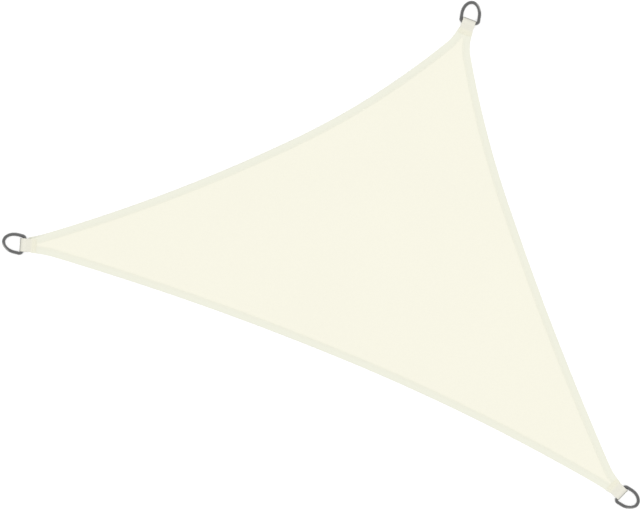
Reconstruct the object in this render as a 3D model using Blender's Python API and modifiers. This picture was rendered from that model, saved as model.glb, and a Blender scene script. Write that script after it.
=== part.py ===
"""Triangular shade sail lying flat, face up: one hemmed cloth panel with three hollow edges,
a folded webbing tab at each corner and a welded D-ring in each tab. Metres, +Z up. The long
edge runs along X, the apex points along +Y, and the cloth lies on z = 0."""

from math import asin, cos, floor, pi, radians, sin

import bmesh
import bpy
from mathutils import Vector

# Corners. fold is the middle of the tab's outer end, and axis points straight out of the sail.
# The ring has swung by turn in its loop, and slid to the left by slide, seen from above.
CORNERS = {
    "left": {"fold": (-1.2294, -0.7303), "axis": 198.6, "turn": -10.0, "slide": 0.0010},
    "apex": {"fold": (0.0095, 0.7047), "axis": 92.0, "turn": 11.3, "slide": -0.0023},
    "right": {"fold": (1.2298, -0.7303), "axis": 338.4, "turn": 12.8, "slide": -0.0028},
}

# Edges, anticlockwise, each hollow between two corners. roots are where the edge's line would
# meet the sides of the two necks, measured back from the folds. deepest is the fraction of the
# way along at which the hollow is deepest, and sag is its depth there.
EDGES = [
    {"ends": ("left", "right"), "roots": (0.0849, 0.0545), "deepest": 0.545, "sag": 0.0712},
    {"ends": ("right", "apex"), "roots": (0.0715, 0.0916), "deepest": 0.646, "sag": 0.0505},
    {"ends": ("apex", "left"), "roots": (0.0718, 0.0368), "deepest": 0.399, "sag": 0.0918},
]
EDGE_STEPS = 24
FLARE = 0.0446  # how far each way from its root the neck bends into the edge
FLARE_STEPS = 8

# Cloth.
CLOTH = 0.0012  # one layer
HEM = 0.0024  # where the edge is turned in
HEM_WIDTH = 0.028
NECK_WIDTH = 0.0556
TIP_WIDTH = 0.006  # the single layer ends where two hems come this close together

# Webbing tab.
WEBBING = 0.0015
WEBBING_WIDTH = 0.050
TAIL = 0.062  # reach of both sewn ends, back from the fold
GAP = 0.0003  # between pieces that touch

# D-ring, measured along the middle of its wire.
WIRE = 0.012
RING_WIDTH = 0.0668
RING_LENGTH = 0.0763
LEG = 0.0290  # from the bar to the start of the bow
RING_CORNER = 0.010
RING_CORNER_STEPS = 5
BOW_STEPS = 26
WIRE_BEVEL = 6  # gives the wire 16 sides

# The tab's loop, along the middle of the webbing.
BAR_HEIGHT = WEBBING + GAP + WIRE / 2
LOOP_RADIUS = WIRE / 2 + GAP + WEBBING / 2
LOOP_SLACK = 0.0056  # room for the turned bar, each way from its middle
RAMP_ANGLE = radians(40)  # how steeply the tab comes down from the bar to the neck
FOOT_RADIUS = 0.007  # where it levels out on the neck
LOOP_STEPS = 14
RAMP_STEPS = 5

# Places behind the fold.
BAR_BACK = LOOP_SLACK + LOOP_RADIUS + WEBBING / 2
NECK_BACK = BAR_BACK + 0.0175
NECK_RUN_ON = NECK_BACK - 0.005  # the untrimmed neck reaches at least this near to the fold

# The neck lies on the tab's lower end, and comes down to the floor behind it.
NECK_LIFT = WEBBING + GAP
LIFT_START = TAIL + 0.004
LIFT_LENGTH = 0.060
LIFT_STEPS = 6

CREAM_CLOTH = (0.939, 0.930, 0.791, 1.0)
GREY_CREAM_WEBBING = (0.830, 0.807, 0.716, 1.0)
DARK_STEEL = (0.130, 0.133, 0.138, 1.0)


def clear_scene():
    for item in list(bpy.data.objects):
        bpy.data.objects.remove(item, do_unlink=True)


def make_collection(name):
    collection = bpy.data.collections.new(name)
    bpy.context.scene.collection.children.link(collection)
    return collection


def make_material(name, colour, roughness, metallic):
    material = bpy.data.materials.new(name)
    material.use_nodes = True
    shader = material.node_tree.nodes["Principled BSDF"]
    shader.inputs["Base Color"].default_value = colour
    shader.inputs["Roughness"].default_value = roughness
    shader.inputs["Metallic"].default_value = metallic
    return material


def direction(angle):
    return Vector((cos(angle), sin(angle)))


def left_of(vector):
    return Vector((-vector.y, vector.x))


def corner_axis(corner):
    return direction(radians(CORNERS[corner]["axis"]))


def corner_point(corner, back, sideways=0.0):
    """The point this far back from a corner's fold and this far to the left of its axis."""
    axis = corner_axis(corner)
    return Vector(CORNERS[corner]["fold"]) - axis * back + left_of(axis) * sideways


def sideways_of(corner, point):
    """How far a point lies to the left of a corner's axis."""
    return (point - Vector(CORNERS[corner]["fold"])).dot(left_of(corner_axis(corner)))


def back_of(corner, point):
    """How far a point lies behind a corner's fold."""
    return (Vector(CORNERS[corner]["fold"]) - point).dot(corner_axis(corner))


def bend(start, handle, end, steps):
    """A soft bend from start towards handle and on to end, without its last point."""
    parts = [step / steps for step in range(steps)]
    return [start * (1 - t) ** 2 + handle * 2 * t * (1 - t) + end * t**2 for t in parts]


def edge_points(edge):
    """One hollow edge, with its flares and the straight sides of the necks at its ends."""
    first, last = edge["ends"]
    first_root_back, last_root_back = edge["roots"]
    first_root = corner_point(first, first_root_back, NECK_WIDTH / 2)
    last_root = corner_point(last, last_root_back, -NECK_WIDTH / 2)
    along = (last_root - first_root).normalized()
    inward = left_of(along)
    length = (last_root - first_root).length
    deepest = edge["deepest"] * length

    def on_edge(distance):
        half = deepest if distance < deepest else length - deepest
        depth = edge["sag"] * (1 - ((distance - deepest) / half) ** 2)
        return first_root + along * distance + inward * depth

    stride = (length - 2 * FLARE) / EDGE_STEPS
    hollow = [on_edge(FLARE + stride * step) for step in range(EDGE_STEPS + 1)]
    first_neck = corner_point(first, first_root_back - FLARE, NECK_WIDTH / 2)
    last_neck = corner_point(last, last_root_back - FLARE, -NECK_WIDTH / 2)
    return [
        *bend(first_neck, first_root, hollow[0], FLARE_STEPS),
        *hollow[:-1],
        *bend(hollow[-1], last_root, last_neck, FLARE_STEPS),
        last_neck,
    ]


def sail_outline():
    """The three edges, each run on along the straight sides of its necks, past the trim."""
    outline = []
    for edge in EDGES:
        first, last = edge["ends"]
        line = edge_points(edge)
        if back_of(first, line[0]) > NECK_RUN_ON:
            line.insert(0, corner_point(first, NECK_RUN_ON, NECK_WIDTH / 2))
        if back_of(last, line[-1]) > NECK_RUN_ON:
            line.append(corner_point(last, NECK_RUN_ON, -NECK_WIDTH / 2))
        outline.extend(line)
    return outline


def hem_line():
    """The inner line of the three hems, as far out as the single layer shows between them."""
    line = []
    for edge in EDGES:
        first, last = edge["ends"]
        edge_line = edge_points(edge)
        for before, point, after in zip(edge_line, edge_line[1:], edge_line[2:]):
            inner = point + left_of((after - before).normalized()) * HEM_WIDTH
            if sideways_of(first, inner) > TIP_WIDTH / 2 and sideways_of(last, inner) < -TIP_WIDTH / 2:
                line.append(inner)
    return line


def plate_mesh(name, outline, bottom, top):
    """A flat plate with this outline, as a mesh with its two faces sewn to its rim."""
    curve = bpy.data.curves.new(name, "CURVE")
    curve.dimensions = "2D"
    curve.fill_mode = "BOTH"
    curve.extrude = (top - bottom) / 2
    spline = curve.splines.new("POLY")
    spline.points.add(len(outline) - 1)
    for spline_point, point in zip(spline.points, outline):
        spline_point.co = (point.x, point.y, 0.0, 1.0)
    spline.use_cyclic_u = True
    guide = bpy.data.objects.new(name, curve)
    bpy.context.scene.collection.objects.link(guide)
    mesh = evaluated_mesh(guide)
    mesh.name = name
    bpy.data.objects.remove(guide)
    shape = bmesh.new()
    shape.from_mesh(mesh)
    bmesh.ops.remove_doubles(shape, verts=shape.verts, dist=1e-6)
    bmesh.ops.translate(shape, verts=shape.verts, vec=(0, 0, (bottom + top) / 2))
    bmesh.ops.recalc_face_normals(shape, faces=shape.faces)
    shape.to_mesh(mesh)
    shape.free()
    return mesh


def evaluated_mesh(item):
    bpy.context.view_layer.update()
    depsgraph = bpy.context.evaluated_depsgraph_get()
    return bpy.data.meshes.new_from_object(item.evaluated_get(depsgraph))


def lift_at(point):
    """How high the tabs' lower ends carry the cloth's underside at this point."""
    lift = 0.0
    for corner in CORNERS:
        steps_down = (back_of(corner, point) - LIFT_START) / LIFT_LENGTH * LIFT_STEPS
        steps_down = min(max(steps_down, 0.0), LIFT_STEPS)
        above = floor(steps_down)
        part = steps_down - above
        lift += NECK_LIFT * (soft_step(above) * (1 - part) + soft_step(above + 1) * part)
    return lift


def soft_step(step):
    """From 1 down to 0 along a soft S, at one of its LIFT_STEPS steps."""
    t = min(step / LIFT_STEPS, 1.0)
    return 1 - t * t * (3 - 2 * t)


def cut_across(shape, corner, back, trim=False):
    """Cuts the cloth square to a corner's axis, and can drop what lies beyond the cut."""
    bmesh.ops.bisect_plane(
        shape,
        geom=[*shape.verts, *shape.edges, *shape.faces],
        dist=1e-7,
        plane_co=(*corner_point(corner, back), 0.0),
        plane_no=(*corner_axis(corner), 0.0),
        clear_outer=trim,
    )
    if trim:
        bmesh.ops.holes_fill(shape, edges=[edge for edge in shape.edges if edge.is_boundary])


def make_sail_cloth(collection, material):
    cloth = bpy.data.objects.new("sail_cloth", plate_mesh("sail_cloth", sail_outline(), 0.0, HEM))
    inside = bpy.data.objects.new("inside_the_hems", plate_mesh("inside_the_hems", hem_line(), CLOTH, 2 * HEM))
    collection.objects.link(cloth)
    collection.objects.link(inside)
    cut = cloth.modifiers.new("single layer", "BOOLEAN")
    cut.operation = "DIFFERENCE"
    cut.object = inside
    hemmed = evaluated_mesh(cloth)
    cloth.modifiers.remove(cut)
    bpy.data.objects.remove(inside)

    shape = bmesh.new()
    shape.from_mesh(hemmed)
    for corner in CORNERS:
        cut_across(shape, corner, NECK_BACK, trim=True)
        for step in range(LIFT_STEPS + 1):
            cut_across(shape, corner, LIFT_START + LIFT_LENGTH * step / LIFT_STEPS)
    for vertex in shape.verts:
        vertex.co.z += lift_at(vertex.co.xy)
    shape.to_mesh(cloth.data)
    shape.free()
    cloth.data.materials.append(material)


def arc(centre_x, centre_z, radius, start, end, steps):
    angles = [start + (end - start) * step / steps for step in range(steps + 1)]
    return [(centre_x + radius * cos(angle), centre_z + radius * sin(angle)) for angle in angles]


def tab_section():
    """The webbing's way through the tab, as x out of the sail from the bar's middle, and z."""
    sewn_end = BAR_BACK - TAIL
    lower_end = WEBBING / 2
    upper_end = NECK_LIFT + HEM + GAP + WEBBING / 2
    front = arc(LOOP_SLACK, BAR_HEIGHT, LOOP_RADIUS, -pi / 2, pi / 2, LOOP_STEPS)
    over_bar = arc(-LOOP_SLACK, BAR_HEIGHT, LOOP_RADIUS, pi / 2, pi / 2 + RAMP_ANGLE, RAMP_STEPS)
    ramp_top_x, ramp_top_z = over_bar[-1]
    foot_z = upper_end + FOOT_RADIUS
    ramp_drop = ramp_top_z - (foot_z - FOOT_RADIUS * cos(RAMP_ANGLE))
    ramp_reach = ramp_drop * cos(RAMP_ANGLE) / sin(RAMP_ANGLE)
    foot_x = ramp_top_x - ramp_reach - FOOT_RADIUS * sin(RAMP_ANGLE)
    foot = arc(foot_x, foot_z, FOOT_RADIUS, RAMP_ANGLE - pi / 2, -pi / 2, RAMP_STEPS)
    return [(sewn_end, lower_end), *front, *over_bar, *foot, (sewn_end, upper_end)]


def make_corner_tab(corner, collection, material):
    name = f"corner_tab_{corner}"
    shape = bmesh.new()
    section = [shape.verts.new((x, -WEBBING_WIDTH / 2, z)) for x, z in tab_section()]
    lines = [shape.edges.new(pair) for pair in zip(section, section[1:])]
    widened = bmesh.ops.extrude_edge_only(shape, edges=lines)["geom"]
    far_side = [item for item in widened if isinstance(item, bmesh.types.BMVert)]
    bmesh.ops.translate(shape, verts=far_side, vec=(0, WEBBING_WIDTH, 0))
    bmesh.ops.recalc_face_normals(shape, faces=shape.faces)
    mesh = bpy.data.meshes.new(name)
    shape.to_mesh(mesh)
    shape.free()
    tab = bpy.data.objects.new(name, mesh)
    collection.objects.link(tab)
    tab.location = (*corner_point(corner, BAR_BACK), 0.0)
    tab.rotation_euler.z = radians(CORNERS[corner]["axis"])
    thickness = tab.modifiers.new("webbing", "SOLIDIFY")
    thickness.thickness = WEBBING
    thickness.offset = 0
    thickness.use_even_offset = True
    mesh.materials.append(material)


def ring_line():
    """The middle of the wire, anticlockwise from the bar: corner, leg, bow, leg and corner."""
    half_width = RING_WIDTH / 2
    corner_side = half_width - RING_CORNER
    first_corner = arc(RING_CORNER, -corner_side, RING_CORNER, pi, 3 * pi / 2, RING_CORNER_STEPS)
    last_corner = arc(RING_CORNER, corner_side, RING_CORNER, pi / 2, pi, RING_CORNER_STEPS)
    bow_depth = RING_LENGTH - LEG
    around = [pi * step / BOW_STEPS - pi / 2 for step in range(BOW_STEPS + 1)]
    bow = [(LEG + bow_depth * cos(angle), half_width * sin(angle)) for angle in around]
    return [*first_corner, *bow, *last_corner]


def make_d_ring(corner, collection, material):
    name = f"d_ring_{corner}"
    curve = bpy.data.curves.new(name, "CURVE")
    curve.dimensions = "3D"
    curve.bevel_depth = WIRE / 2
    curve.bevel_resolution = WIRE_BEVEL
    line = ring_line()
    spline = curve.splines.new("POLY")
    spline.points.add(len(line) - 1)
    for spline_point, (x, y) in zip(spline.points, line):
        spline_point.co = (x, y, 0.0, 1.0)
    spline.use_cyclic_u = True
    ring = bpy.data.objects.new(name, curve)
    collection.objects.link(ring)
    droop = asin((BAR_HEIGHT - WIRE / 2) / RING_LENGTH)  # lets the bow down to the floor
    ring.location = (*corner_point(corner, BAR_BACK, CORNERS[corner]["slide"]), BAR_HEIGHT)
    heading = radians(CORNERS[corner]["axis"] + CORNERS[corner]["turn"])
    ring.rotation_euler = (0.0, droop, heading)
    curve.materials.append(material)


def main():
    clear_scene()
    parts = make_collection("shade_sail")
    cloth = make_material("cream cloth", CREAM_CLOTH, 0.9, 0.0)
    webbing = make_material("grey cream webbing", GREY_CREAM_WEBBING, 0.85, 0.0)
    steel = make_material("dark steel", DARK_STEEL, 0.35, 1.0)
    make_sail_cloth(parts, cloth)
    for corner in CORNERS:
        make_corner_tab(corner, parts, webbing)
        make_d_ring(corner, parts, steel)


main()
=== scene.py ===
"""The finish of a triangular shade sail that lies flat, seen from straight above.

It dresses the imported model: the hemmed cloth, the rows of hem stitching, the three webbing
tabs with their sewn boxes, and the three steel D-rings. Metres, +Z up. The sail lies on z = 0,
with its long edge along X and its apex along +Y.
"""

from math import asin, cos, pi, radians, sin

import bpy
import numpy as np
from bpy.props import FloatProperty, FloatVectorProperty, PointerProperty
from bpy.types import Operator, Panel, PropertyGroup
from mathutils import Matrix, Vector
from mathutils.geometry import delaunay_2d_cdt


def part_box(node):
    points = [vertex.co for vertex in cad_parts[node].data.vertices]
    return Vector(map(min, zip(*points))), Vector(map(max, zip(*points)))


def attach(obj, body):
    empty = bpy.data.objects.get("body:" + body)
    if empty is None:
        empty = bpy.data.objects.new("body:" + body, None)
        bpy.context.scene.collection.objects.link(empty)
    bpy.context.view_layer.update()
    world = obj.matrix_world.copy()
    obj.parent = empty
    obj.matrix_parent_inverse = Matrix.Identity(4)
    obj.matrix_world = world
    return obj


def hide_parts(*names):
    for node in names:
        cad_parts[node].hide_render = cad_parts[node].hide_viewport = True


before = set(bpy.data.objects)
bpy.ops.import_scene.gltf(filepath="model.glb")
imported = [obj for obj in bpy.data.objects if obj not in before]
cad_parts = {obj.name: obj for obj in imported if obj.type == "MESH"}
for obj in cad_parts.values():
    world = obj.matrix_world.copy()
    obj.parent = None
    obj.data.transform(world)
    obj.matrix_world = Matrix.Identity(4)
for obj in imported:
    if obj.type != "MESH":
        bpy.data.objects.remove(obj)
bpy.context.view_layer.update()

bl_info = {
    "name": "Shade sail finish",
    "version": (1, 0, 0),
    "blender": (4, 5, 0),
    "location": "View3D > Sidebar > Shade sail",
    "description": "Cloth, stitching, webbing tabs and rings of a triangular shade sail",
    "category": "Object",
}

BODY = "root"

# Corners. fold is the middle of the tab's outer end, and axis points straight out of the sail.
# The ring has swung by turn in its loop, and slid to the left by slide, seen from above, and its bow has a
# pale painted highlight at this heading from its own axis.
CORNERS = {
    "left": {"fold": (-1.2294, -0.7303), "axis": 198.6, "turn": -10.0, "slide": 0.0010, "painted_highlight": 34.0},
    "apex": {"fold": (0.0095, 0.7047), "axis": 92.0, "turn": 11.3, "slide": -0.0023, "painted_highlight": -40.0},
    "right": {"fold": (1.2298, -0.7303), "axis": 338.4, "turn": 12.8, "slide": -0.0028, "painted_highlight": -40.0},
}

# Edges, anticlockwise, each hollow between two corners. roots are where the edge's line would
# meet the sides of the two necks, measured back from the folds. deepest is the fraction of the
# way along at which the hollow is deepest, and sag is its depth there.
EDGES = [
    {"ends": ("left", "right"), "roots": (0.0849, 0.0545), "deepest": 0.545, "sag": 0.0712},
    {"ends": ("right", "apex"), "roots": (0.0715, 0.0916), "deepest": 0.646, "sag": 0.0505},
    {"ends": ("apex", "left"), "roots": (0.0718, 0.0368), "deepest": 0.399, "sag": 0.0918},
]
FLARE = 0.0446  # how far each way from its root the neck bends into the edge
NECK_WIDTH = 0.0556
NECK_END = 0.0175  # behind the ring's bar
GAP = 0.0003  # between pieces that touch
TAIL = 0.062  # reach of the tab's sewn ends, back from the fold
LOOP_SLACK = 0.0056  # room for the turned bar in its loop, each way from its middle
LEG = 0.029  # of the ring, from its bar to the start of the bow
RING_CORNER = 0.010
LIFT_START = TAIL + 0.004  # behind here the neck comes down from the tab's lower end
LIFT_LENGTH = 0.060

# The cloth's section, from its rim inwards.
RIM_REACH = 0.0015  # how far in the folded rim is rounded
RIM_SHARE = 0.38  # of the hem's thickness, rounded off each face
TURNED_BEFORE = 0.0006  # the turned-in layer starts to round off this far before the hem's width
TURNED_LENGTH = 0.0010
STITCH_ROW_PLACES = (0.0200, 0.0250)
STITCH_DIP = 0.00016
STITCH_DIP_WIDTH = 0.0008
HEM_FADE = 0.014  # over which the turned-in layer stops showing through the cloth

# The cloth's mesh. Rows of points run along each edge at these distances in from it, closest at
# the rim, the stitches and the crease where the turned-in layer ends.
RIM_ROWS = (0.0002, 0.0007, 0.0015, 0.0030)
HEM_ROWS = (0.0044, 0.0058, 0.0075, 0.0115, 0.0158, 0.0180)
STITCH_ROW_SIDES = (-0.0011, -0.0005, 0.0, 0.0005, 0.0011)
CREASE_ROWS = (0.0270, 0.0275, 0.0278, 0.0281, 0.0284, 0.0290)
PANEL_ROWS = (0.0310, 0.0350, 0.0410)
LINE_SPACING = 0.002  # of an edge's own line
ROW_SPACING = 0.007
ROW_GAP = 0.0006  # between the rows of two edges that meet
FILL_SPACING = 0.0125  # of the grid inside the rows
FILL_RISE = 0.866  # from one of its lines to the next, as a part of the spacing
FILL_GAP = 0.006  # between it and the last row
NECK_STEPS = 12  # across the neck's end
HAIR = 1e-5  # nearer than this is no distance

# At each corner two hems meet. A seam of points runs midway between the two edges, from just
# behind the neck's end, and a close grid lies where their creases run softly into each other.
CORNER_START = 0.003
SEAM = {"reach": 0.22, "spacing": 0.004, "half_width": 0.030}
TIP = {"reach": 0.150, "spacing": 0.0011, "half_width": 0.024, "margin": 0.0002}
TIP_ZONE = (0.0257, 0.0335)  # in from the edge, where the grid takes the rows' place
TIP_ROUND = 0.008  # how softly the creases meet

# Long, low waves of the laid cloth: their length, heading in degrees, height and shift. They
# start this far behind the folds, and take this length to grow.
WAVES = (
    {"length": 0.66, "heading": 24.0, "height": 0.0013, "shift": 0.4},
    {"length": 0.47, "heading": 101.0, "height": 0.0009, "shift": 2.1},
    {"length": 0.93, "heading": 150.0, "height": 0.0016, "shift": 4.4},
    {"length": 0.31, "heading": 62.0, "height": 0.0005, "shift": 1.3},
)
WAVES_START = 0.14
WAVES_GROWTH = 0.25
# The hems are drawn up a little by their stitches, in uneven puckers along the edges.
PUCKERS = (
    {"length": 0.052, "height": 0.0004, "shift": 0.3},
    {"length": 0.083, "height": 0.0005, "shift": 1.9},
    {"length": 0.190, "height": 0.0009, "shift": 4.0},
)
PUCKER_REACH = 0.075  # in from the edge
# The left neck's small roll, with its place in from the edge and its end behind the fold.
ROLL = {"height": 0.0030, "place": 0.0030, "width": 0.0019, "end": 0.100, "fade": 0.045}
GATHER = {"share": 0.115, "length": 0.022, "half_width": 0.050}  # of each neck's end

# Webbing tabs, with x out of the sail from the middle of the ring's bar.
RIBS = 20
RIB_PITCH = 0.0025
RIB_DEPTH = 0.00014
RIB_STEPS = 6
SIDE_ROWS = (0.00005, 0.0003, 0.0007)  # in from the webbing's sides
SIDE_REACH = 0.0008  # how far in the sides are rounded
SIDE_SHARE = 0.30  # of the thickness that is left at them
RAMP_TOP = -0.004
RAMP_FOOT = -0.034
RAMP_ROUND = 0.22  # part of the ramp's length that rounds each of its ends
LOOP_POWER = 2.4  # squares the loop's round front a little
LOOP_STEPS = 32
RAMP_STEPS = 30
SEWN_SPACING = 0.0008
PLAIN_SPACING = 0.002
BOX_NEAR = -0.0350  # the sewn box
BOX_FAR = -0.0462
BOX_HALF_WIDTH = 0.0205
BOX_DIP = 0.00035
BOX_DIP_WIDTH = 0.0007
BOX_DIP_REACH = 0.003  # nearer to the bar than the box

# Stitches.
STITCH_SHARE = 0.86  # of a stitch's length that shows between its holes
STITCH_HEIGHT = 0.8  # of the thread's thickness
HEM_STITCH_RISES = (0.22, 0.12)  # over the top and the underside, of the thread's thickness
HEM_STITCH_START = 0.0022  # behind the tab
HEM_STITCH_GAP = 0.001  # between the rows of two hems that meet
TAB_STITCH = 0.0031
TAB_THREAD = 0.0009
TAB_STITCH_SUNK = (0.00018, 0.00022)  # into the top and the underside

# Rings.
QUARTER_ROUND = 0.5523  # a quarter circle's handle, as a part of its radius
STRAIGHT_HANDLE = 0.005
WIRE_STEPS = 16  # from knot to knot
WIRE_BEVEL = 10  # which gives the wire 24 sides
# The painted highlight on each bow: how far it reaches and fades, in degrees, and how it keeps to the
# wire's outer side.
HIGHLIGHT_REACH = 30  # degrees of the bow each way
HIGHLIGHT_FADE = 18
HIGHLIGHT_SIDE = {"start": -0.05, "fade": 0.5}  # towards the wire's outer side, which is at 1

# Floor, lamp and camera. The camera is straight above, at the photograph's turn and centre.
FLOOR_RADIUS = 40.0
FLOOR_SIDES = 96
FLOOR_DROP = 0.0004  # under the sail, so that the two faces never share a plane
LAMP_HEIGHT = 4.0
VIEW_TURN = 22.563
VIEW_CENTRE = (-0.1698, -0.3360)
VIEW_WIDTH = 2.410  # of the picture, at the floor
VIEW_HEIGHT = 15.0
SENSOR = 36.0


def linear(hex_colour):
    """An sRGB hex colour as linear red, green, blue and alpha."""
    channels = [int(hex_colour[place : place + 2], 16) / 255 for place in (0, 2, 4)]
    return (*[c / 12.92 if c <= 0.04045 else ((c + 0.055) / 1.055) ** 2.4 for c in channels], 1.0)


def length(name, description, default):
    return FloatProperty(name=name, description=description, default=default, unit="LENGTH")


def strength(name, description, default):
    return FloatProperty(name=name, description=description, default=default, min=0.0)


def colour(name, description, hex_colour):
    shade = linear(hex_colour)
    return FloatVectorProperty(name=name, description=description, subtype="COLOR", size=4, default=shade)


class SailSizes(PropertyGroup):
    cloth: length("Cloth", "Thickness of one layer of cloth", 0.0012)
    hem: length("Hem", "Thickness of the cloth where its edge is turned in", 0.0024)
    hem_width: length("Hem width", "Width of the sewn hem", 0.028)
    webbing: length("Webbing", "Thickness of the corner webbing", 0.0015)
    webbing_width: length("Webbing width", "Width of the corner webbing", 0.050)
    wire: length("Ring wire", "Thickness of the D-rings' steel wire", 0.012)
    ring_width: length("Ring width", "Width of a D-ring, between wire middles", 0.0668)
    ring_length: length("Ring length", "Length of a D-ring, between wire middles", 0.0763)
    stitch: length("Stitch", "Length of one stitch, hole to hole", 0.0042)
    thread: length("Thread", "Thickness of the sewing thread", 0.0007)


class SailColours(PropertyGroup):
    panel: colour("Panel", "Single layer of cloth", "E5E3D4")
    hem: colour("Hem", "Doubled cloth of the hems", "DEDED0")
    webbing: colour("Webbing", "Webbing of the corner tabs", "DFDDD1")
    sewn_webbing: colour("Sewn webbing", "Webbing at its sewn ends", "E3E1D0")
    # Grey painted shade on the webbing where it turns round the bar.
    painted_fold_shade: colour("Grime", "Grey of the webbing where it turns", "55565A")
    thread: colour("Thread", "Sewing thread", "E3E1D3")
    steel: colour("Steel", "Steel of the D-rings", "888888")
    # Pale painted highlight on the outer side of each bow.
    painted_highlight_steel: colour("Rubbed steel", "Paler, rubbed steel of the bows", "D8D8D6")


class StudioSettings(PropertyGroup):
    sky: strength("Sky", "Strength of the even light all round", 0.60)
    lamp: strength("Lamp", "Strength of the soft lamp overhead", 1.95)
    lamp_angle: FloatProperty(
        name="Lamp softness", description="Angle that the lamp covers", default=radians(28), subtype="ANGLE"
    )


def sizes():
    return bpy.context.scene.sail_sizes


def colours():
    return bpy.context.scene.sail_colours


# Places on the sail, as arrays of points with two or three columns.


def axis_of(corner):
    angle = radians(CORNERS[corner]["axis"])
    return np.array((cos(angle), sin(angle)))


def left_of(vectors):
    return np.stack((-vectors[..., 1], vectors[..., 0]), axis=-1)


def fold_of(corner):
    return np.array(CORNERS[corner]["fold"])


def corner_point(corner, back, sideways=0.0):
    """The point this far back from a corner's fold and this far to the left of its axis."""
    axis = axis_of(corner)
    return fold_of(corner) - axis * back + left_of(axis) * sideways


def back_of(corner, points):
    """How far points lie behind a corner's fold."""
    return (fold_of(corner) - points) @ axis_of(corner)


def between_ends(edge, points, back):
    """Whether points lie further than this behind the folds at both ends of an edge."""
    return np.all([back_of(corner, points) > back for corner in edge["ends"]], axis=0)


def bar_height():
    return sizes().webbing + GAP + sizes().wire / 2


def loop_radius():
    return sizes().wire / 2 + GAP + sizes().webbing / 2


def bar_back():
    return LOOP_SLACK + loop_radius() + sizes().webbing / 2


def neck_back():
    return bar_back() + NECK_END


def neck_lift():
    return sizes().webbing + GAP


def bend(start, handle, end, steps=60):
    """A soft bend from start towards handle and on to end, without its last point."""
    t = np.linspace(0, 1, steps, endpoint=False)[:, None]
    return start * (1 - t) ** 2 + handle * 2 * t * (1 - t) + end * t**2


def run_of(line):
    """How far along a line each of its points lies."""
    return np.concatenate(([0.0], np.cumsum(np.linalg.norm(np.diff(line, axis=0), axis=1))))


def resampled(line, spacing):
    """A line's points again, evenly and about this far apart."""
    run = run_of(line)
    even = np.linspace(0, run[-1], max(2, round(run[-1] / spacing) + 1))
    return np.column_stack([np.interp(even, run, line[:, column]) for column in (0, 1)])


def edge_line(edge, spacing=LINE_SPACING):
    """One hollow edge from neck end to neck end, anticlockwise."""
    ends = list(zip(edge["ends"], edge["roots"], (NECK_WIDTH / 2, -NECK_WIDTH / 2)))
    first_root, last_root = (corner_point(*end) for end in ends)
    first_neck, last_neck = (corner_point(corner, back - FLARE, side) for corner, back, side in ends)
    first_end, last_end = (corner_point(corner, neck_back(), side) for corner, _, side in ends)
    reach = np.linalg.norm(last_root - first_root)
    along = (last_root - first_root) / reach
    deepest = edge["deepest"] * reach
    distance = np.linspace(FLARE, reach - FLARE, 500)
    half = np.where(distance < deepest, deepest, reach - deepest)
    depth = edge["sag"] * (1 - ((distance - deepest) / half) ** 2)
    hollow = first_root + distance[:, None] * along + depth[:, None] * left_of(along)
    first_bend = bend(first_neck, first_root, hollow[0])
    last_bend = bend(hollow[-1], last_root, last_neck)
    line = np.vstack([first_bend, hollow[:-1], last_bend, last_neck])
    line = line[between_ends(edge, line, neck_back() + HAIR)]
    return resampled(np.vstack([first_end, line, last_end]), spacing)


def inward_of(line):
    """At each point of a line, the way square to it into the sail."""
    tangent = np.gradient(line, axis=0)
    return left_of(tangent / np.linalg.norm(tangent, axis=1)[:, None])


def distance_to(line, points, batch=4000):
    """How far each point lies from a line, worked out in batches."""
    start, step = line[:-1], np.diff(line, axis=0)
    length_squared = (step**2).sum(axis=1)
    found = np.empty(len(points))
    for low in range(0, len(points), batch):
        away = points[low : low + batch, None] - start
        part = np.clip((away * step).sum(axis=2) / length_squared, 0, 1)
        found[low : low + batch] = np.linalg.norm(away - part[..., None] * step, axis=2).min(axis=1)
    return found


def distance_to_any(lines, points):
    """How far each point lies from the nearest of these lines."""
    return np.min([distance_to(line, points) for line in lines], axis=0)


def inside_of(outline, points):
    """Whether each point lies inside the outline."""
    following = np.roll(outline, -1, axis=0)
    crossings = np.zeros(len(points), int)
    for (x0, y0), (x1, y1) in zip(outline, following):
        if y0 != y1:
            spans = (y0 > points[:, 1]) != (y1 > points[:, 1])
            crossings += spans & (points[:, 0] < (x1 - x0) * (points[:, 1] - y0) / (y1 - y0) + x0)
    return crossings % 2 == 1


def staggered(across, along, spacing):
    """An even grid as two columns, with every other line shifted by half of the spacing."""
    across, along = np.meshgrid(across, along)
    across[1::2] += spacing / 2
    return across.reshape(-1, 1), along.reshape(-1, 1)


def soft_step(t):
    """From 0 up to 1 along a soft S."""
    t = np.clip(t, 0, 1)
    return t * t * (3 - 2 * t)


def ripple(run, wave):
    """The height of a wave this far along it, from 0 up to its own height."""
    return wave["height"] * (0.5 + 0.5 * np.sin(2 * pi * run / wave["length"] + wave["shift"]))


# The cloth.


def lay_of(points):
    """How high the cloth's underside lies at these points: on the tabs, and in its waves."""
    lift = np.zeros(len(points))
    free = np.ones(len(points))
    for corner in CORNERS:
        back = back_of(corner, points)
        lift += neck_lift() * (1 - soft_step((back - LIFT_START) / LIFT_LENGTH))
        free *= soft_step((back - WAVES_START) / WAVES_GROWTH)
    waves = np.zeros(len(points))
    for wave in WAVES:
        heading = radians(wave["heading"])
        waves += ripple(points[:, 0] * cos(heading) + points[:, 1] * sin(heading), wave)
    return lift + waves * free + pucker(points) * np.sqrt(free) + rolled_side(points)


def pucker(points):
    """How high the stitched hems are drawn up at these points."""
    hem = sizes().hem_width
    height = np.zeros(len(points))
    for edge in EDGES:
        start, end = (fold_of(corner) for corner in edge["ends"])
        along = (points - start) @ (end - start) / np.linalg.norm(end - start)
        away = distance_to(edge_line(edge, 10 * LINE_SPACING), points)
        near = 1 - soft_step((away - hem) / (PUCKER_REACH - hem))
        height += near * sum(ripple(along, wave) for wave in PUCKERS)
    return height


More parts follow.
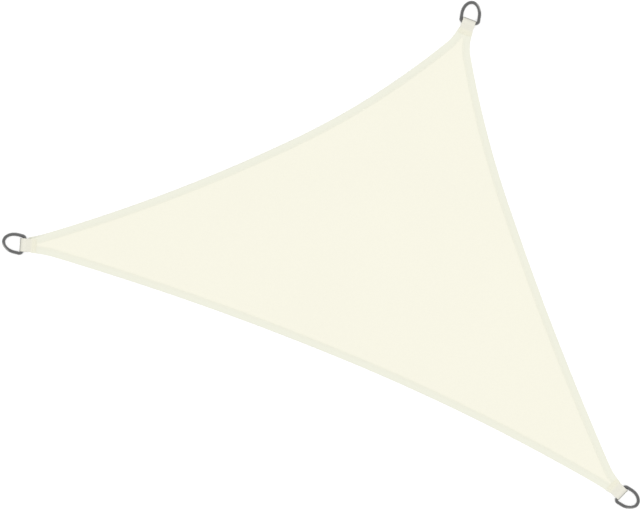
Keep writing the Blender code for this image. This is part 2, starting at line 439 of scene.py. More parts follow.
def rolled_side(points):
    """How high the left neck's hem stands up in a small roll, along its side towards the apex."""
    away = distance_to(edge_line(EDGES[2], 2 * LINE_SPACING), points)
    fade = soft_step((ROLL["end"] - back_of("left", points)) / ROLL["fade"])
    return ROLL["height"] * np.exp(-(((away - ROLL["place"]) / ROLL["width"]) ** 2)) * fade


def drawn_in(points):
    """The necks' ends gathered a little, to hide under the tabs' edges, but for the rolled side."""
    moved = points.copy()
    for corner in CORNERS:
        side = left_of(axis_of(corner))
        sideways = (points[:, :2] - fold_of(corner)) @ side
        behind = back_of(corner, points[:, :2]) - neck_back()
        gather = GATHER["share"] * (1 - soft_step(behind / GATHER["length"]))
        gather *= abs(sideways) < GATHER["half_width"]
        if corner == "left":
            gather *= sideways > 0
        moved[:, :2] -= (sideways * gather)[:, None] * side
    return moved


def rim_fold(inside):
    """From 0 at the hem's folded rim round to 1 where its faces are flat."""
    return np.sqrt(np.clip(1 - (1 - np.clip(inside / RIM_REACH, 0, 1)) ** 2, 0, 1))


def stitch_dips(inside):
    dips = [((inside - place) / STITCH_DIP_WIDTH) ** 2 for place in STITCH_ROW_PLACES]
    return STITCH_DIP * sum(np.exp(-dip) for dip in dips)


def cloth_top(inside):
    """The height of the cloth's upper face over its underside, this far in from its edge."""
    cloth, hem, width = sizes().cloth, sizes().hem, sizes().hem_width
    outer = hem * (1 - RIM_SHARE * (1 - rim_fold(inside)))
    turned = np.clip((inside - (width - TURNED_BEFORE)) / TURNED_LENGTH, 0, 1)
    return outer - (hem - cloth) * (1 - np.sqrt(1 - turned**2)) - stitch_dips(inside)


def cloth_underside(inside):
    """The height of the underside's rounded rim and its stitch rows."""
    return sizes().hem * RIM_SHARE * (1 - rim_fold(inside)) + 0.5 * stitch_dips(inside)


def least_inside(distances):
    """How far in points lie from the nearest edge, rounded off where the next is about as near."""
    nearest, following = np.sort(np.stack(distances), axis=0)[:2]
    share = np.clip(1 - (following - nearest) / TIP_ROUND, 0, 1)
    return nearest - share**2 * TIP_ROUND / 4


def tip_points(corner, lines):
    """Close points where the creases of a corner's two hems run together."""
    spacing, half_width = TIP["spacing"], TIP["half_width"]
    backs = np.arange(neck_back() + CORNER_START, TIP["reach"], spacing)
    columns = np.arange(-half_width, half_width, spacing)
    points = corner_point(corner, *staggered(backs, columns, spacing))
    nearest, following = np.sort([distance_to(line, points) for line in lines], axis=0)[:2]
    in_zone = (nearest > TIP_ZONE[0]) & (nearest < TIP_ZONE[1])
    return points[in_zone & (following - nearest < TIP_ROUND + TIP["margin"])]


def seam_points(corner, one_edge, other_edge):
    """Points midway between the two edges of a corner, where their hems meet."""
    backs = np.arange(neck_back() + CORNER_START, SEAM["reach"], SEAM["spacing"])[:, None]
    low, high = np.full(backs.shape, -SEAM["half_width"]), np.full(backs.shape, SEAM["half_width"])
    for _ in range(26):
        middle = (low + high) / 2
        points = corner_point(corner, backs, middle)
        away = distance_to(one_edge, points)
        nearer = (away < distance_to(other_edge, points))[:, None]
        low, high = np.where(nearer, middle, low), np.where(nearer, high, middle)
    return points[(away < TIP_ZONE[0]) | ((away > TIP_ZONE[1]) & (away < PANEL_ROWS[-1]))]


def row_points(edge, line, others):
    """The rows along one edge, each as far as no other edge is nearer."""
    stitches = [place + side for place in STITCH_ROW_PLACES for side in STITCH_ROW_SIDES]
    inward = inward_of(line)
    rows = []
    for row in (*RIM_ROWS, *HEM_ROWS, *stitches, *CREASE_ROWS, *PANEL_ROWS):
        points = line + inward * row
        gap = TIP_ROUND + ROW_GAP if TIP_ZONE[0] < row < TIP_ZONE[1] else ROW_GAP
        free = distance_to_any(others, points) > row + gap
        rows.append(points[free & between_ends(edge, points, neck_back() + HAIR)])
    return rows


def fill_points(outline, lines):
    """An even grid of points inside the rows."""
    low, high = outline.min(axis=0), outline.max(axis=0)
    columns = np.arange(low[0], high[0], FILL_SPACING)
    rows = np.arange(low[1], high[1], FILL_SPACING * FILL_RISE)
    grid = np.hstack(staggered(columns, rows, FILL_SPACING))
    grid = grid[inside_of(outline, grid)]
    return grid[distance_to_any([line[::3] for line in lines], grid) > PANEL_ROWS[-1] + FILL_GAP]


def cloth_points(lines):
    """The outline of the sail, and all the points inside it that its faces are made from."""
    outline, inner = [], []
    for index, edge in enumerate(EDGES):
        line = resampled(lines[index], ROW_SPACING)
        corner = edge["ends"][1]
        start, end = (corner_point(corner, neck_back(), side * NECK_WIDTH / 2) for side in (-1, 1))
        outline.extend(line)
        outline.extend(start + (end - start) * step / NECK_STEPS for step in range(1, NECK_STEPS))
        inner.extend(row_points(edge, line, lines[:index] + lines[index + 1 :]))
        # The next edge starts at the corner where this one ends.
        inner.append(seam_points(corner, line, lines[(index + 1) % 3]))
        inner.append(tip_points(corner, lines))
    outline = np.array(outline)
    return outline, np.vstack([*inner, fill_points(outline, lines)])


# Making pieces.


def new_mesh_object(name, vertices, faces):
    mesh = bpy.data.meshes.new(name)
    mesh.from_pydata(vertices.tolist(), [], faces)
    mesh.validate()
    piece = bpy.data.objects.new(name, mesh)
    bpy.context.scene.collection.objects.link(piece)
    return piece


def set_attribute(piece, name, values):
    attribute = piece.data.attributes.new(name, "FLOAT", "POINT")
    attribute.data.foreach_set("value", np.asarray(values, dtype=np.float32))


def select_only(piece):
    bpy.ops.object.select_all(action="DESELECT")
    bpy.context.view_layer.objects.active = piece
    piece.select_set(True)


def face_outwards(piece):
    """Closes a piece's doubled points and turns its faces outwards."""
    select_only(piece)
    bpy.ops.object.mode_set(mode="EDIT")
    bpy.ops.mesh.select_all(action="SELECT")
    bpy.ops.mesh.remove_doubles(threshold=1e-6)
    bpy.ops.mesh.normals_make_consistent(inside=False)
    bpy.ops.object.mode_set(mode="OBJECT")


def finish_piece(piece, material, node=None, smooth_angle=pi):
    """Gives a piece its material, its place on the body and the solid it stands for."""
    piece.data.materials.clear()
    piece.data.materials.append(material)
    select_only(piece)
    bpy.ops.object.shade_smooth_by_angle(angle=smooth_angle)
    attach(piece, BODY)
    if node:
        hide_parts(node)
        keep_to_box(piece, node)


def keep_to_box(piece, node, room=0.006):
    """Stops the script if a piece strays from the solid that it stands for."""
    low, high = np.array(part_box(node))
    points = np.array([vertex.co for vertex in piece.data.vertices])
    strays = max((low - points).max(), (points - high).max())
    if strays > room:
        raise RuntimeError(f"{piece.name} reaches {strays * 1000:.1f} mm past {node}")


# Materials.

# How large each pattern's threads, spots or marks are.
WEAVE_PITCH = 0.0018  # the real threads are 0.5 mm apart, too fine to show, so they are drawn coarser
SLUB = 0.00625
CLOUD = 0.4
CHEVRON_PITCH = 0.0012
VALLEY = 0.0006  # half of its width
FUZZ = 0.0025
TWIST = 1 / 900
DRAW_MARK = 1 / 700
PATCH = 1 / 60
WAVE_PERIOD = pi / 10  # of a banded wave texture at scale 1

# Behind a tab's fold: where the webbing turns creamy, and where two grey painted shades of the fold fade.
SEWN_FADE = (0.036, 0.050)
DARK_FOLD_SHADE_FADE = (0.0015, 0.0060)
PALE_FOLD_SHADE_FADE = (0.004, 0.017)

# Roughness added under the painted highlight, which dulls the wire there.
HIGHLIGHT_ROUGHNESS = 0.25  # more than the polished wire's


def add_node(tree, kind, inputs=(), **settings):
    """Adds a shader node with its settings, and its inputs, by name or in order, as values or links."""
    node = tree.nodes.new("ShaderNode" + kind)
    for name, value in settings.items():
        setattr(node, name, value)
    sockets = inputs if isinstance(inputs, dict) else dict(enumerate(inputs))
    for socket, value in sockets.items():
        if isinstance(value, bpy.types.NodeSocket):
            tree.links.new(value, node.inputs[socket])
        else:
            node.inputs[socket].default_value = value
    return node


def new_material(name, **shader_values):
    material = bpy.data.materials.new(name)
    material.use_nodes = True
    tree = material.node_tree
    shader = tree.nodes["Principled BSDF"]
    for socket, value in shader_values.items():
        shader.inputs[socket.replace("_", " ")].default_value = value
    return material, tree, shader


def material_once(name, make):
    return bpy.data.materials.get(name) or make(name)


def surface(tree, shader, tone, shades, height=None, strength=0.0, distance=0.0002):
    """Gives a shader its tone, darker or lighter by each of the shades, and its fine relief."""
    for shade in shades:
        tone = add_node(tree, "VectorMath", {0: tone, "Scale": shade}, operation="SCALE").outputs[0]
    tree.links.new(tone, shader.inputs["Base Color"])
    if height:
        relief = {"Height": height, "Strength": strength, "Distance": distance}
        tree.links.new(add_node(tree, "Bump", relief).outputs["Normal"], shader.inputs["Normal"])


def weave(tree, vector, pitch):
    """A plain weave's height from 0 to 1: threads each way, over and under by turns."""
    wave = {"Vector": vector, "Scale": WAVE_PERIOD / pitch}
    warp = add_node(tree, "TexWave", wave, bands_direction="X").outputs["Fac"]
    weft = add_node(tree, "TexWave", wave, bands_direction="Y").outputs["Fac"]
    over = add_node(tree, "TexChecker", {"Vector": vector, "Scale": 1 / pitch}).outputs["Fac"]
    return add_node(tree, "Mix", {"Factor": over, "A": warp, "B": weft}).outputs["Result"]


def cloth_material(name):
    """Woven polyester, coated: matt and even, with a close plain weave and faint slubs."""
    material, tree, shader = new_material(name, Roughness=0.88, Specular_IOR_Level=0.18, Sheen_Weight=0.04)
    place = add_node(tree, "TexCoord").outputs["Object"]
    height = weave(tree, place, WEAVE_PITCH)
    layers = add_node(tree, "Attribute", attribute_name="layers").outputs["Fac"]
    tones = {"Factor": layers, "A": colours().panel, "B": colours().hem}
    tone = add_node(tree, "Mix", tones, data_type="RGBA").outputs["Result"]
    # A range takes a value, its low and its high end, and what the two become.
    shades = [add_node(tree, "MapRange", (height, 0.0, 1.0, 0.975, 1.012)).outputs[0]]
    for size, detail, dark, light in ((SLUB, 2.0, 0.992, 1.006), (CLOUD, 1.0, 0.996, 1.003)):
        spots = {"Vector": place, "Scale": 1 / size, "Detail": detail}
        spots = add_node(tree, "TexNoise", spots).outputs["Fac"]
        shades.append(add_node(tree, "MapRange", (spots, 0.3, 0.7, dark, light)).outputs[0])
    surface(tree, shader, tone, shades, height, 0.25)
    return material


def webbing_material(name):
    """Woven polyester webbing: ribs along it, with fine chevrons of thread across each rib."""
    material, tree, shader = new_material(name, Roughness=0.80, Specular_IOR_Level=0.22, Sheen_Weight=0.05)
    place = add_node(tree, "UVMap", uv_map="webbing").outputs["UV"]
    split = add_node(tree, "SeparateXYZ", {"Vector": place}).outputs
    # A chevron's arms lean with the distance from the valleys at its rib's two sides.
    lean = add_node(tree, "Math", (split["X"], RIB_PITCH / 2), operation="PINGPONG").outputs[0]
    along = add_node(tree, "Math", (split["Y"], lean), operation="ADD").outputs[0]
    leaning = add_node(tree, "CombineXYZ", {"X": along}).outputs[0]
    wave = {"Vector": leaning, "Scale": WAVE_PERIOD / CHEVRON_PITCH}
    threads = add_node(tree, "TexWave", wave, bands_direction="X").outputs["Fac"]
    fuzz = add_node(tree, "TexNoise", {"Vector": place, "Scale": 1 / FUZZ, "Detail": 2.0}).outputs["Fac"]
    threads_shade = add_node(tree, "MapRange", (threads, 0.0, 1.0, 0.935, 1.03)).outputs[0]
    fuzz_shade = add_node(tree, "MapRange", (fuzz, 0.3, 0.7, 0.98, 1.01)).outputs[0]
    # The valleys between the ribs lie in their shade.
    soft = {"interpolation_type": "SMOOTHSTEP"}
    valley = add_node(tree, "MapRange", (lean, 0.0, VALLEY, 0.93, 1.008), **soft).outputs[0]
    # A creamier tone where it is sewn flat, and grey painted shade where it turns round the bar, standing
    # in for the fold's shade.
    behind = add_node(tree, "Attribute", attribute_name="behind_fold").outputs["Fac"]
    sewn = add_node(tree, "MapRange", (behind, *SEWN_FADE, 0.0, 1.0), **soft).outputs[0]
    tones = {"Factor": sewn, "A": colours().webbing, "B": colours().sewn_webbing}
    tone = add_node(tree, "Mix", tones, data_type="RGBA").outputs["Result"]
    # Two grey painted shades of the fold: dark at its front, paler further back.
    dark = add_node(tree, "MapRange", (behind, *DARK_FOLD_SHADE_FADE, 0.36, 0.0), **soft).outputs[0]
    pale = add_node(tree, "MapRange", (behind, *PALE_FOLD_SHADE_FADE, 0.10, 0.0), **soft).outputs[0]
    painted_fold_shade = add_node(tree, "Math", (dark, pale)).outputs[0]
    tones = {"Factor": painted_fold_shade, "A": tone, "B": colours().painted_fold_shade}
    fold_shaded_tone = add_node(tree, "Mix", tones, data_type="RGBA").outputs["Result"]
    surface(tree, shader, fold_shaded_tone, (threads_shade, fuzz_shade, valley), threads, 0.5)
    return material


def thread_material(name):
    """Bonded polyester thread: a little shinier than the cloth, with its twist as fine specks."""
    material, tree, shader = new_material(name, Roughness=0.62, Specular_IOR_Level=0.3)
    place = add_node(tree, "TexCoord").outputs["Object"]
    twist = add_node(tree, "TexNoise", {"Vector": place, "Scale": 1 / TWIST, "Detail": 1.0}).outputs["Fac"]
    shade = add_node(tree, "MapRange", (twist, 0.3, 0.7, 0.94, 1.02)).outputs[0]
    surface(tree, shader, colours().thread[:3], [shade])
    return material


def steel_material(name):
    """Drawn round steel bar, polished: dark grey, softly mirror-like, with fine draw marks."""
    material, tree, shader = new_material(name, Metallic=1.0, Roughness=0.28)
    place = add_node(tree, "TexCoord").outputs["Object"]
    marks = {"Vector": place, "Scale": 1 / DRAW_MARK, "Detail": 3.0}
    marks = add_node(tree, "TexNoise", marks).outputs["Fac"]
    patches = {"Vector": place, "Scale": 1 / PATCH, "Detail": 2.0}
    patches = add_node(tree, "TexNoise", patches).outputs["Fac"]
    gloss = add_node(tree, "MapRange", (patches, 0.3, 0.7, 0.22, 0.36)).outputs[0]
    shade = add_node(tree, "MapRange", (marks, 0.3, 0.7, 0.90, 1.06)).outputs[0]
    # Each bow has a pale painted highlight in one place on the outer side of its wire, with a broken edge,
    # and is duller there.
    painted_highlight = add_node(tree, "Attribute", attribute_name="painted_highlight").outputs["Fac"]
    edge = add_node(tree, "MapRange", (patches, 0.35, 0.65, 0.55, 1.25)).outputs[0]
    highlit = add_node(tree, "Math", (painted_highlight, edge), operation="MULTIPLY", use_clamp=True).outputs[0]
    tones = {"Factor": highlit, "A": colours().steel, "B": colours().painted_highlight_steel}
    tone = add_node(tree, "Mix", tones, data_type="RGBA").outputs["Result"]
    dull = add_node(tree, "Math", (highlit, HIGHLIGHT_ROUGHNESS, gloss), operation="MULTIPLY_ADD").outputs[0]
    tree.links.new(dull, shader.inputs["Roughness"])
    surface(tree, shader, tone, [shade], marks, 0.15, 0.00005)
    return material


# Webbing tabs.


def tab_route():
    """The middle of the webbing from its lower end round the bar to its upper end, as x and z."""
    size = sizes()
    sewn_end = bar_back() - TAIL
    upper = neck_lift() + size.hem + GAP + size.webbing / 2
    top = bar_height() + loop_radius()
    turn = np.linspace(-pi / 2, pi / 2, LOOP_STEPS + 1)
    power = 2 / LOOP_POWER
    front_x = (LOOP_SLACK + loop_radius()) * np.abs(np.cos(turn)) ** power
    front_z = bar_height() + loop_radius() * np.sign(np.sin(turn)) * np.abs(np.sin(turn)) ** power
    part = np.linspace(0, 1, RAMP_STEPS + 1)
    slope = np.clip(np.minimum(part, 1 - part) / RAMP_ROUND, 0, 1)
    fall = np.concatenate(([0.0], np.cumsum(slope[1:] + slope[:-1])))
    ramp_x = RAMP_TOP + (RAMP_FOOT - RAMP_TOP) * part
    ramp_z = top + (upper - top) * fall / fall[-1]
    sewn_x = np.arange(sewn_end, BOX_NEAR + PLAIN_SPACING / 2, SEWN_SPACING)
    lower_x = np.concatenate([sewn_x, np.arange(BOX_NEAR + PLAIN_SPACING, 0, PLAIN_SPACING)])
    upper_x = np.append(np.arange(RAMP_FOOT - PLAIN_SPACING / 2, sewn_end, -SEWN_SPACING), sewn_end)
    stretches = ((lower_x, size.webbing / 2), (front_x, front_z), (ramp_x, ramp_z), (upper_x, upper))
    return np.vstack([np.column_stack(np.broadcast_arrays(x, z)) for x, z in stretches])


def box_lines():
    """The sides of the sewn box and its cross, each as its start and end."""
    half = BOX_HALF_WIDTH
    corners = [(BOX_NEAR, -half), (BOX_NEAR, half), (BOX_FAR, half), (BOX_FAR, -half)]
    sides = zip(corners, corners[1:] + corners[:1])
    return [*sides, (corners[0], corners[2]), (corners[1], corners[3])]


def box_distance(x, y):
    """How far points of the sewn end lie from the lines of the box and its cross."""
    nearest = np.full(x.shape, 1.0)
    for (x0, y0), (x1, y1) in box_lines():
        step = np.array((x1 - x0, y1 - y0))
        part = np.clip(((x - x0) * step[0] + (y - y0) * step[1]) / (step @ step), 0, 1)
        nearest = np.minimum(nearest, np.hypot(x - x0 - part * step[0], y - y0 - part * step[1]))
    return nearest


def placed(corner, points):
    """Points about the middle of a corner's bar, on the floor, put in their place on the sail."""
    axis = axis_of(corner)
    flat = corner_point(corner, bar_back()) + points[:, :1] * axis + points[:, 1:2] * left_of(axis)
    return np.column_stack([flat, points[:, 2]])


def webbing_columns():
    """Where the webbing's lengthwise lines of points lie, from side to side."""
    half = sizes().webbing_width / 2
    outer, inner, start = SIDE_ROWS
    ribs = np.linspace(-half + start, half - start, RIBS * RIB_STEPS + 1)
    return np.concatenate([[-half + outer, -half + inner], ribs, [half - inner, half - outer]])


def webbing_sections(route, across):
    """The webbing's ribbed section at each point of its route: outer face, then inner face back."""
    size = sizes()
    half = size.webbing_width / 2
    tangent = np.gradient(route, axis=0)
    tangent /= np.linalg.norm(tangent, axis=1)[:, None]
    outward = np.column_stack([tangent[:, 1], -tangent[:, 0]])  # away from the bar
    rib = (1 - np.cos(2 * pi * (across + half) / RIB_PITCH)) / 2
    side = np.clip((half - np.abs(across)) / SIDE_REACH, 0, 1)
    side = SIDE_SHARE + (1 - SIDE_SHARE) * np.sqrt(np.clip(1 - (1 - side) ** 2, 0, 1))
    thick = (size.webbing / 2 - RIB_DEPTH * (1 - rib)) * side
    from_box = box_distance(*np.meshgrid(route[:, 0], across, indexing="ij"))
    sewn = np.exp(-((from_box / BOX_DIP_WIDTH) ** 2))
    sewn[route[:, 0] > BOX_NEAR + BOX_DIP_REACH] = 0
    inner = np.repeat(thick[None], len(route), axis=0)
    faces = []
    for depth, order in ((inner - BOX_DIP * sewn, 1), (-inner, -1)):
        x = route[:, :1] + outward[:, :1] * depth
        z = route[:, 1:] + outward[:, 1:] * depth
        y = np.repeat(across[None], len(route), axis=0)
        faces.append(np.stack([x, y, z], axis=2)[:, ::order])
    return np.concatenate(faces, axis=1)


def strip_faces(stations, count):
    """The faces of a closed strip whose sections each have count points, with its two ends."""
    station, place = np.meshgrid(np.arange(stations - 1), np.arange(count), indexing="ij")
    here, ahead, following = station * count, (station + 1) * count, (place + 1) % count
    sides = np.stack([here + place, here + following, ahead + following, ahead + place], axis=2)
    ends = []
    for base, flip in ((0, False), ((stations - 1) * count, True)):
        for near in range(count // 2 - 1):
            far = count - 1 - near
            end = (base + near, base + far, base + far - 1, base + near + 1)
            ends.append(end[::-1] if flip else end)
    return [*sides.reshape(-1, 4).tolist(), *ends]


def make_tab(corner, material):
    size = sizes()
    route = tab_route()
    run = run_of(route)
    across = webbing_columns()
    sections = webbing_sections(route, across)
    stations, count = sections.shape[:2]
    points = sections.reshape(-1, 3)
    tab = new_mesh_object(f"webbing_tab_{corner}", placed(corner, points), strip_faces(stations, count))
    columns = np.concatenate([across, across[::-1]]) + size.webbing_width / 2
    uv = np.stack([np.tile(columns, stations), np.repeat(run, count)], axis=1)
    layer = tab.data.uv_layers.new(name="webbing")
    for loop, spot in zip(tab.data.loops, layer.data):
        spot.uv = uv[loop.vertex_index]
    set_attribute(tab, "behind_fold", bar_back() - points[:, 0])
    face_outwards(tab)
    finish_piece(tab, material, f"corner_tab_{corner}", smooth_angle=radians(50))


# Stitches.


def stitch_form(stitch, thickness):
    """One stitch: a short bead of thread, as its vertices and triangles."""
    bpy.ops.object.select_all(action="DESELECT")
    bpy.ops.mesh.primitive_ico_sphere_add(subdivisions=1, radius=0.5, location=(0, 0, 0))
    bead = bpy.context.object
    bpy.ops.transform.resize(value=(stitch * STITCH_SHARE, thickness, thickness * STITCH_HEIGHT))
    bpy.ops.object.transform_apply()
    vertices = np.array([vertex.co for vertex in bead.data.vertices])
    faces = np.array([tuple(face.vertices) for face in bead.data.polygons])
    mesh = bead.data
    bpy.data.objects.remove(bead)
    bpy.data.meshes.remove(mesh)
    return vertices, faces


def copies(form, middles, ways, up):
    """Copies of a form at these middles, with its X along ways and its Z up or down."""
    vertices, faces = form
    ways = ways / np.linalg.norm(ways, axis=1)[:, None]
    sides = np.cross((0.0, 0.0, up), ways)
    sides /= np.linalg.norm(sides, axis=1)[:, None]
    frames = np.stack([ways, sides, np.cross(ways, sides)], axis=1)
    points = np.einsum("vk,nkc->nvc", vertices, frames) + middles[:, None]
    shifts = np.arange(len(middles)) * len(vertices)
    return points.reshape(-1, 3), (faces[None] + shifts[:, None, None]).reshape(-1, 3)


def joined(name, groups):
    """One mesh object from several groups of vertices and faces."""
    vertices, faces, shift = [], [], 0
    for points, triangles in groups:
        vertices.append(points)
        faces.append(triangles + shift)
        shift += len(points)
    return new_mesh_object(name, np.vstack(vertices), np.vstack(faces).tolist())


class SAIL_OT_cloth(Operator):
    """Makes the hemmed triangular panel, with its folds, creases and long low waves"""

    bl_idname = "shade_sail.cloth"
    bl_label = "Sail cloth"

    def execute(self, context):
        lines = [edge_line(edge) for edge in EDGES]
        outline, inner = cloth_points(lines)
        flat, triangles = self.spread(outline, np.vstack([outline, inner]))
        inside = least_inside([distance_to(line, flat) for line in lines])
        lay = lay_of(flat)
        upper = np.column_stack([flat, lay + cloth_top(inside)])
        under = np.column_stack([flat, lay + cloth_underside(inside)])
        points = drawn_in(np.vstack([upper, under]))
        cloth = new_mesh_object("hemmed_cloth", points, self.both_faces(triangles, len(flat)))
        hem = 1 - soft_step((inside - sizes().hem_width + HEM_FADE / 2) / HEM_FADE)
        set_attribute(cloth, "layers", np.tile(hem, 2))
        material = material_once("coated_woven_polyester", cloth_material)
        finish_piece(cloth, material, "sail_cloth", smooth_angle=radians(60))
        return {"FINISHED"}

    def spread(self, outline, points):
        """A flat net of triangles, facing up, over these points inside the outline."""
        rim = [(i, (i + 1) % len(outline)) for i in range(len(outline))]
        flat, _, triangles, *_ = delaunay_2d_cdt([Vector(p) for p in points], rim, [], 1, 1e-6)
        flat = np.array([tuple(v) for v in flat])
        triangles = np.array(triangles)
        a, b, c = (flat[triangles[:, i]] for i in range(3))
        down = np.cross(b - a, c - a) < 0
        triangles[down] = triangles[down][:, ::-1]
        return flat, triangles

    def both_faces(self, triangles, count):
        """The upper face, the same face turned under it, and the wall round their rim."""
        sides = np.vstack([triangles[:, [0, 1]], triangles[:, [1, 2]], triangles[:, [2, 0]]])
        sides = set(map(tuple, sides.tolist()))
        rim = [side for side in sides if side[::-1] not in sides]
        wall = [(j, i, i + count, j + count) for i, j in rim]
        return [*triangles.tolist(), *(triangles[:, ::-1] + count).tolist(), *wall]


class SAIL_OT_hem_stitching(Operator):
    """Sews the two rows of stitches that hold down each hem, on both faces of the cloth"""

    bl_idname = "shade_sail.hem_stitching"
    bl_label = "Hem stitching"

    def execute(self, context):
        size = sizes()
        form = stitch_form(size.stitch, size.thread)
        lines = [edge_line(edge) for edge in EDGES]
        groups = []
        for index, edge in enumerate(EDGES):
            line, others = lines[index], lines[:index] + lines[index + 1 :]
            for place in STITCH_ROW_PLACES:
                row = line + inward_of(line) * place
                free = distance_to_any(others, row) > place + HEM_STITCH_GAP
                free &= between_ends(edge, row, TAIL + HEM_STITCH_START)
                row = resampled(row[free], size.stitch)
                ways = np.gradient(row, axis=0)
                ways = np.column_stack([ways, lay_of(row + ways * 0.5) - lay_of(row - ways * 0.5)])
                for face, rise, up in zip((cloth_top, cloth_underside), HEM_STITCH_RISES, (1.0, -1.0)):
                    height = lay_of(row) + face(np.full(len(row), place)) + size.thread * rise
                    groups.append(copies(form, np.column_stack([row, height]), ways, up))
        stitching = joined("hem_stitching", groups)
        finish_piece(stitching, material_once("bonded_polyester_thread", thread_material))
        return {"FINISHED"}


class SAIL_OT_corner_tabs(Operator):
    """Folds a length of ribbed webbing round each ring's bar and over the neck of the cloth"""

    bl_idname = "shade_sail.corner_tabs"
    bl_label = "Corner tabs"

    def execute(self, context):
        material = material_once("ribbed_polyester_webbing", webbing_material)
        for corner in CORNERS:
            make_tab(corner, material)
        return {"FINISHED"}


class SAIL_OT_tab_stitching(Operator):
    """Sews the box and cross of heavy thread through each tab"""

    bl_idname = "shade_sail.tab_stitching"
    bl_label = "Tab stitching"

    def execute(self, context):
        size = sizes()
        form = stitch_form(TAB_STITCH, TAB_THREAD)
        top = neck_lift() + size.hem + GAP + size.webbing - TAB_STITCH_SUNK[0]
        material = material_once("bonded_polyester_thread", thread_material)
        for corner in CORNERS:
            groups = []
            for start, end in box_lines():
                start, step = np.array(start), np.subtract(end, start)
                count = max(1, round(np.linalg.norm(step) / TAB_STITCH))
                middles = start + step * (np.arange(count)[:, None] + 0.5) / count
                ways = np.tile((*step, 0.0), (count, 1))
                for height, up in ((top, 1.0), (TAB_STITCH_SUNK[1], -1.0)):
                    points = np.column_stack([middles, np.full(count, height)])
                    groups.append(copies(form, points, ways, up))
            groups = [(placed(corner, points), faces) for points, faces in groups]
            finish_piece(joined(f"tab_stitching_{corner}", groups), material)
        return {"FINISHED"}


class SAIL_OT_d_rings(Operator):
    """Bends round steel wire to a D in each tab"""

    bl_idname = "shade_sail.d_rings"
    bl_label = "D-rings"

    def execute(self, context):
        material = material_once("polished_round_steel", steel_material)
        for corner in CORNERS:
            heading = radians(CORNERS[corner]["axis"] + CORNERS[corner]["turn"])
            bar = corner_point(corner, bar_back(), CORNERS[corner]["slide"])
            ring = self.bend_ring(corner, bar, heading)
            # Marks the part of each bow that gets the pale painted highlight.
            set_attribute(ring, "painted_highlight", self.highlight_share(ring, corner, bar, heading))
            finish_piece(ring, material, f"d_ring_{corner}")
        return {"FINISHED"}

    def wire_knots(self):
        """The knots of the wire from its bar round: place, and the handles before and after it."""
        size = sizes()
        half, tip, corner = size.ring_width / 2, size.ring_length, RING_CORNER
        start, straight = half - corner, STRAIGHT_HANDLE
        round_corner, round_bow = QUARTER_ROUND * corner, QUARTER_ROUND * (tip - LEG)
        one_side = [
            ((0, -start), (0, -start / 3), (0, -start - round_corner)),
            ((corner, -half), (corner - round_corner, -half), (corner + straight, -half)),
            ((LEG, -half), (LEG - straight, -half), (LEG + round_bow, -half)),
        ]
        bow = ((tip, 0), (tip, -QUARTER_ROUND * half), (tip, QUARTER_ROUND * half))
        back = [[(x, -y) for x, y in (place, after, before)] for place, before, after in one_side[::-1]]
        return [*one_side, bow, *back]

    def bend_ring(self, corner, bar, heading):
        size = sizes()
        knots = self.wire_knots()
        bpy.ops.object.select_all(action="DESELECT")
        bpy.ops.curve.primitive_bezier_circle_add(radius=size.ring_width / 2)
        guide = bpy.context.object
        curve = guide.data
        spline = curve.splines[0]
        spline.bezier_points.add(len(knots) - len(spline.bezier_points))
        for point, spots in zip(spline.bezier_points, knots):
            point.handle_left_type = point.handle_right_type = "FREE"
            point.co, point.handle_left, point.handle_right = ((*spot, 0.0) for spot in spots)
        curve.dimensions = "3D"
        curve.resolution_u = curve.render_resolution_u = WIRE_STEPS
        curve.bevel_depth = size.wire / 2
        curve.bevel_resolution = WIRE_BEVEL
        droop = asin((bar_height() - size.wire / 2) / size.ring_length)  # lets the bow down to the floor
        guide.location = (*bar, bar_height())
        guide.rotation_euler = (0.0, droop, heading)
        bpy.ops.object.convert(target="MESH")
        ring = bpy.context.object
        bpy.ops.object.transform_apply()
        ring.name = ring.data.name = f"polished_ring_{corner}"
        face_outwards(ring)
        return ring

    def highlight_share(self, ring, corner, bar, heading):
        """How far each point of a ring lies in the part of its bow that has the pale painted highlight."""
        points = np.array([vertex.co.xy for vertex in ring.data.vertices])
        normals = np.array([vertex.normal.xy for vertex in ring.data.vertices])
        ahead = np.array((cos(heading), sin(heading)))
        outward = points - bar - ahead * LEG
        outward /= np.linalg.norm(outward, axis=1)[:, None]
        round_bow = np.degrees(np.arctan2(outward @ left_of(ahead), outward @ ahead))
        away = abs(round_bow - CORNERS[corner]["painted_highlight"])
        # The painted highlight lies on the outer side of the wire, and not on the inner side.
        side = (normals * outward).sum(axis=1) - HIGHLIGHT_SIDE["start"]
        return soft_step((HIGHLIGHT_REACH - away) / HIGHLIGHT_FADE) * soft_step(side / HIGHLIGHT_SIDE["fade"])


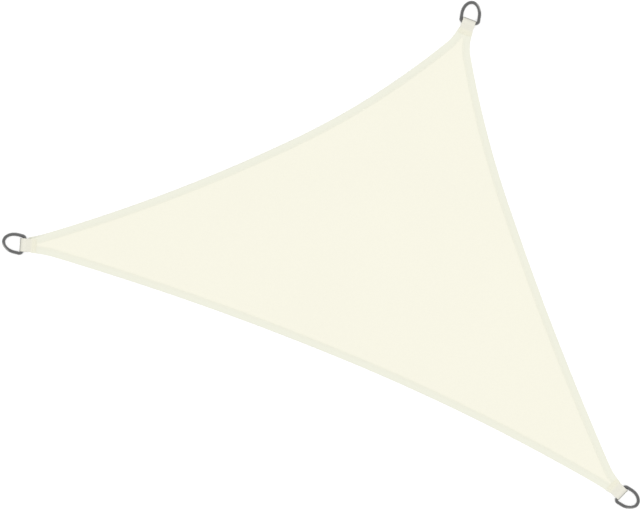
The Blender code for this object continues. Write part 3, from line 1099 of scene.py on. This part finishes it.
class SAIL_OT_studio(Operator):
    """Sets up the pale floor, the soft light and the camera straight above"""

    bl_idname = "shade_sail.studio"
    bl_label = "Studio"

    def execute(self, context):
        scene = context.scene
        studio = scene.sail_studio
        bpy.ops.object.select_all(action="DESELECT")
        bpy.ops.mesh.primitive_circle_add(
            vertices=FLOOR_SIDES, radius=FLOOR_RADIUS, fill_type="NGON", location=(0, 0, -FLOOR_DROP)
        )
        floor = context.object
        floor.name = "studio_floor"
        paper = {"Base_Color": (0.95, 0.95, 0.95, 1.0), "Roughness": 0.9, "Specular_IOR_Level": 0.1}
        floor.data.materials.append(new_material("white_paper_floor", **paper)[0])
        bpy.ops.object.transform_apply()

        world = bpy.data.worlds.new("soft_studio")
        world.use_nodes = True
        scene.world = world
        background = world.node_tree.nodes["Background"]
        background.inputs["Color"].default_value = (1.0, 1.0, 1.0, 1.0)
        background.inputs["Strength"].default_value = studio.sky

        bpy.ops.object.light_add(type="SUN", location=(0, 0, LAMP_HEIGHT))
        lamp = context.object
        lamp.name = "overhead_lamp"
        lamp.data.energy = studio.lamp
        lamp.data.angle = studio.lamp_angle
        lamp.visible_glossy = False

        bpy.ops.object.camera_add(location=(*VIEW_CENTRE, VIEW_HEIGHT), rotation=(0, 0, radians(VIEW_TURN)))
        camera = context.object
        camera.name = "overhead_camera"
        camera.data.sensor_width = SENSOR
        camera.data.lens = SENSOR * VIEW_HEIGHT / VIEW_WIDTH
        scene.camera = camera
        scene.view_settings.view_transform = "Standard"
        scene.view_settings.look = "None"
        return {"FINISHED"}


OPERATORS = (
    SAIL_OT_cloth,
    SAIL_OT_hem_stitching,
    SAIL_OT_d_rings,
    SAIL_OT_corner_tabs,
    SAIL_OT_tab_stitching,
    SAIL_OT_studio,
)


class SAIL_PT_panel(Panel):
    """Lists the pieces of the sail, with their sizes and colours"""

    bl_idname = "SAIL_PT_panel"
    bl_label = "Shade sail"
    bl_space_type = "VIEW_3D"
    bl_region_type = "UI"
    bl_category = "Shade sail"

    def draw(self, context):
        layout = self.layout
        for operator in OPERATORS:
            layout.operator(operator.bl_idname)
        scene = context.scene
        for settings in (scene.sail_sizes, scene.sail_colours, scene.sail_studio):
            box = layout.box()
            for name in settings.bl_rna.properties.keys():
                if name not in ("rna_type", "name"):
                    box.prop(settings, name)


CLASSES = (SailSizes, SailColours, StudioSettings, *OPERATORS, SAIL_PT_panel)


def register():
    for item in CLASSES:
        bpy.utils.register_class(item)
    bpy.types.Scene.sail_sizes = PointerProperty(type=SailSizes)
    bpy.types.Scene.sail_colours = PointerProperty(type=SailColours)
    bpy.types.Scene.sail_studio = PointerProperty(type=StudioSettings)


def unregister():
    del bpy.types.Scene.sail_studio, bpy.types.Scene.sail_colours, bpy.types.Scene.sail_sizes
    for item in reversed(CLASSES):
        bpy.utils.unregister_class(item)


def main():
    register()
    bpy.ops.shade_sail.cloth()
    bpy.ops.shade_sail.hem_stitching()
    bpy.ops.shade_sail.d_rings()
    bpy.ops.shade_sail.corner_tabs()
    bpy.ops.shade_sail.tab_stitching()
    bpy.ops.shade_sail.studio()


if __name__ == "__main__":
    main()
